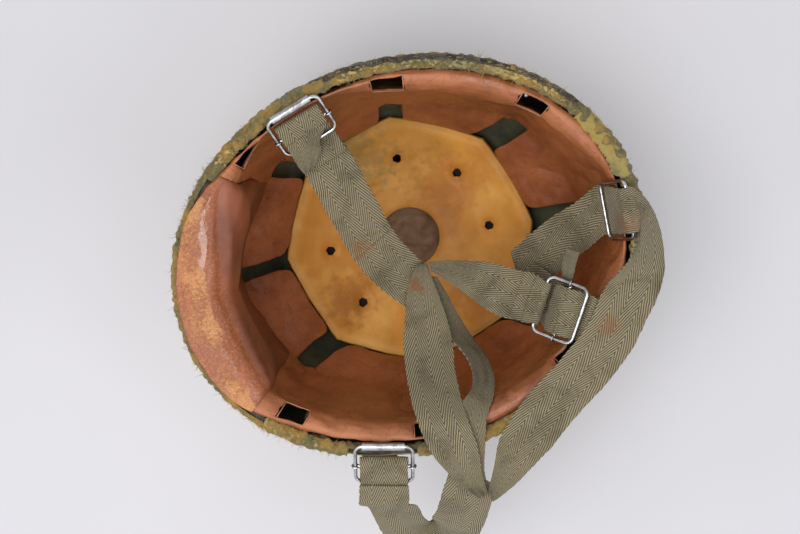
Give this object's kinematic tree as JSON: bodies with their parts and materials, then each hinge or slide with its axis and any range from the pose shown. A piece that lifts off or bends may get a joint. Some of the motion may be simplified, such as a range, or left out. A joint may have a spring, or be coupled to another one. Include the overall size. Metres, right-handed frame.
{
  "type": "paratrooper helmet",
  "caption": "Paratrooper helmet resting on its crown: steel shell with cloth cover, leather liner, padded crown and webbing harness with wire slides.",
  "frame": {"origin": "centre of the flat spot on the crown of the cover, where the helmet rests", "axes": "+Z out of the head opening, -X towards the wearer's front, +Y towards the wearer's left"},
  "size_m": [0.2845, 0.3106, 0.1847],
  "materials": {
    "shell_paint": "dull dark olive paint",
    "edging": "dark woven edging strip",
    "cover_cloth": "thin smooth mustard cloth with olive patches",
    "hem_cloth": "frayed mustard cloth",
    "liner_leather": "reddish brown leather, satin, worn at its upper edge",
    "forehead_leather": "reddish brown leather, flaked and worn to tan",
    "crown_pad": "ochre padded leather, matte",
    "felt": "grey-brown felt",
    "bracket_metal": "satin nickel on sheet steel",
    "wire_metal": "bright nickel plated wire",
    "webbing": "herringbone cotton webbing, olive khaki"
  },
  "bodies": {
    "root": {"steel_shell": "shell_paint", "edging_strip": "edging", "cloth_cover": "cover_cloth", "cover_hem": "hem_cloth", "leather_liner": "liner_leather", "liner_rivet": "bracket_metal", "foam_pads": "felt", "forehead_pad": "forehead_leather", "crown_pad": "crown_pad", "crown_cushion": "felt", "left_bracket": "bracket_metal", "rear_bracket": "bracket_metal", "right_bracket": "bracket_metal", "bracket_rivets": "bracket_metal", "left_strap": "webbing", "chin_strip_front": "webbing", "chin_strip_back": "webbing", "buckle_strap": "webbing", "webbing_tail": "webbing", "rear_strap_left": "webbing", "rear_strap_right": "webbing", "right_strap": "webbing"},
    "left_loop": {"left_loop": "wire_metal"},
    "left_slide": {"left_crossbar": "wire_metal", "left_strap_end": "webbing"},
    "rear_loop": {"rear_loop": "wire_metal", "rear_strap_middle": "webbing"},
    "right_loop": {"right_loop": "wire_metal"},
    "right_slide": {"right_crossbar": "wire_metal", "right_strap_end": "webbing"},
    "buckle": {"buckle_frame": "wire_metal"},
    "buckle_slide": {"buckle_crossbar": "wire_metal", "buckle_strap_end": "webbing"}
  },
  "joints": [
    {"name": "left_loop_swing", "type": "hinge", "parent": "root", "child": "left_loop", "pos_m": [-0.03833, 0.1029, 0.17305], "axis": [-0.9695, -0.2452, 0], "range_deg": [0, 60]},
    {"name": "left_crossbar_slide", "type": "slide", "parent": "left_loop", "child": "left_slide", "axis": [0.2056, -0.8131, -0.5446], "range_m": [-0.003, 0.003]},
    {"name": "rear_loop_swing", "type": "hinge", "parent": "root", "child": "rear_loop", "pos_m": [0.1306, -0.00938, 0.17305], "axis": [0.1052, 0.9945, 0], "range_deg": [0, 30]},
    {"name": "right_loop_swing", "type": "hinge", "parent": "root", "child": "right_loop", "pos_m": [-0.04591, -0.10079, 0.17305], "axis": [-0.9554, 0.2955, 0], "range_deg": [0, 60]},
    {"name": "right_crossbar_slide", "type": "slide", "parent": "right_loop", "child": "right_slide", "axis": [-0.2678, -0.8658, -0.4226], "range_m": [-0.003, 0.003]},
    {"name": "buckle_swing", "type": "hinge", "parent": "root", "child": "buckle", "pos_m": [0.06691, -0.04826, 0.1582], "axis": [-0.5736, -0.8192, 0], "range_deg": [0, 25]},
    {"name": "buckle_crossbar_slide", "type": "slide", "parent": "buckle", "child": "buckle_slide", "axis": [0.7233, -0.5064, 0.4695], "range_m": [-0.003, 0.001]}
  ]
}
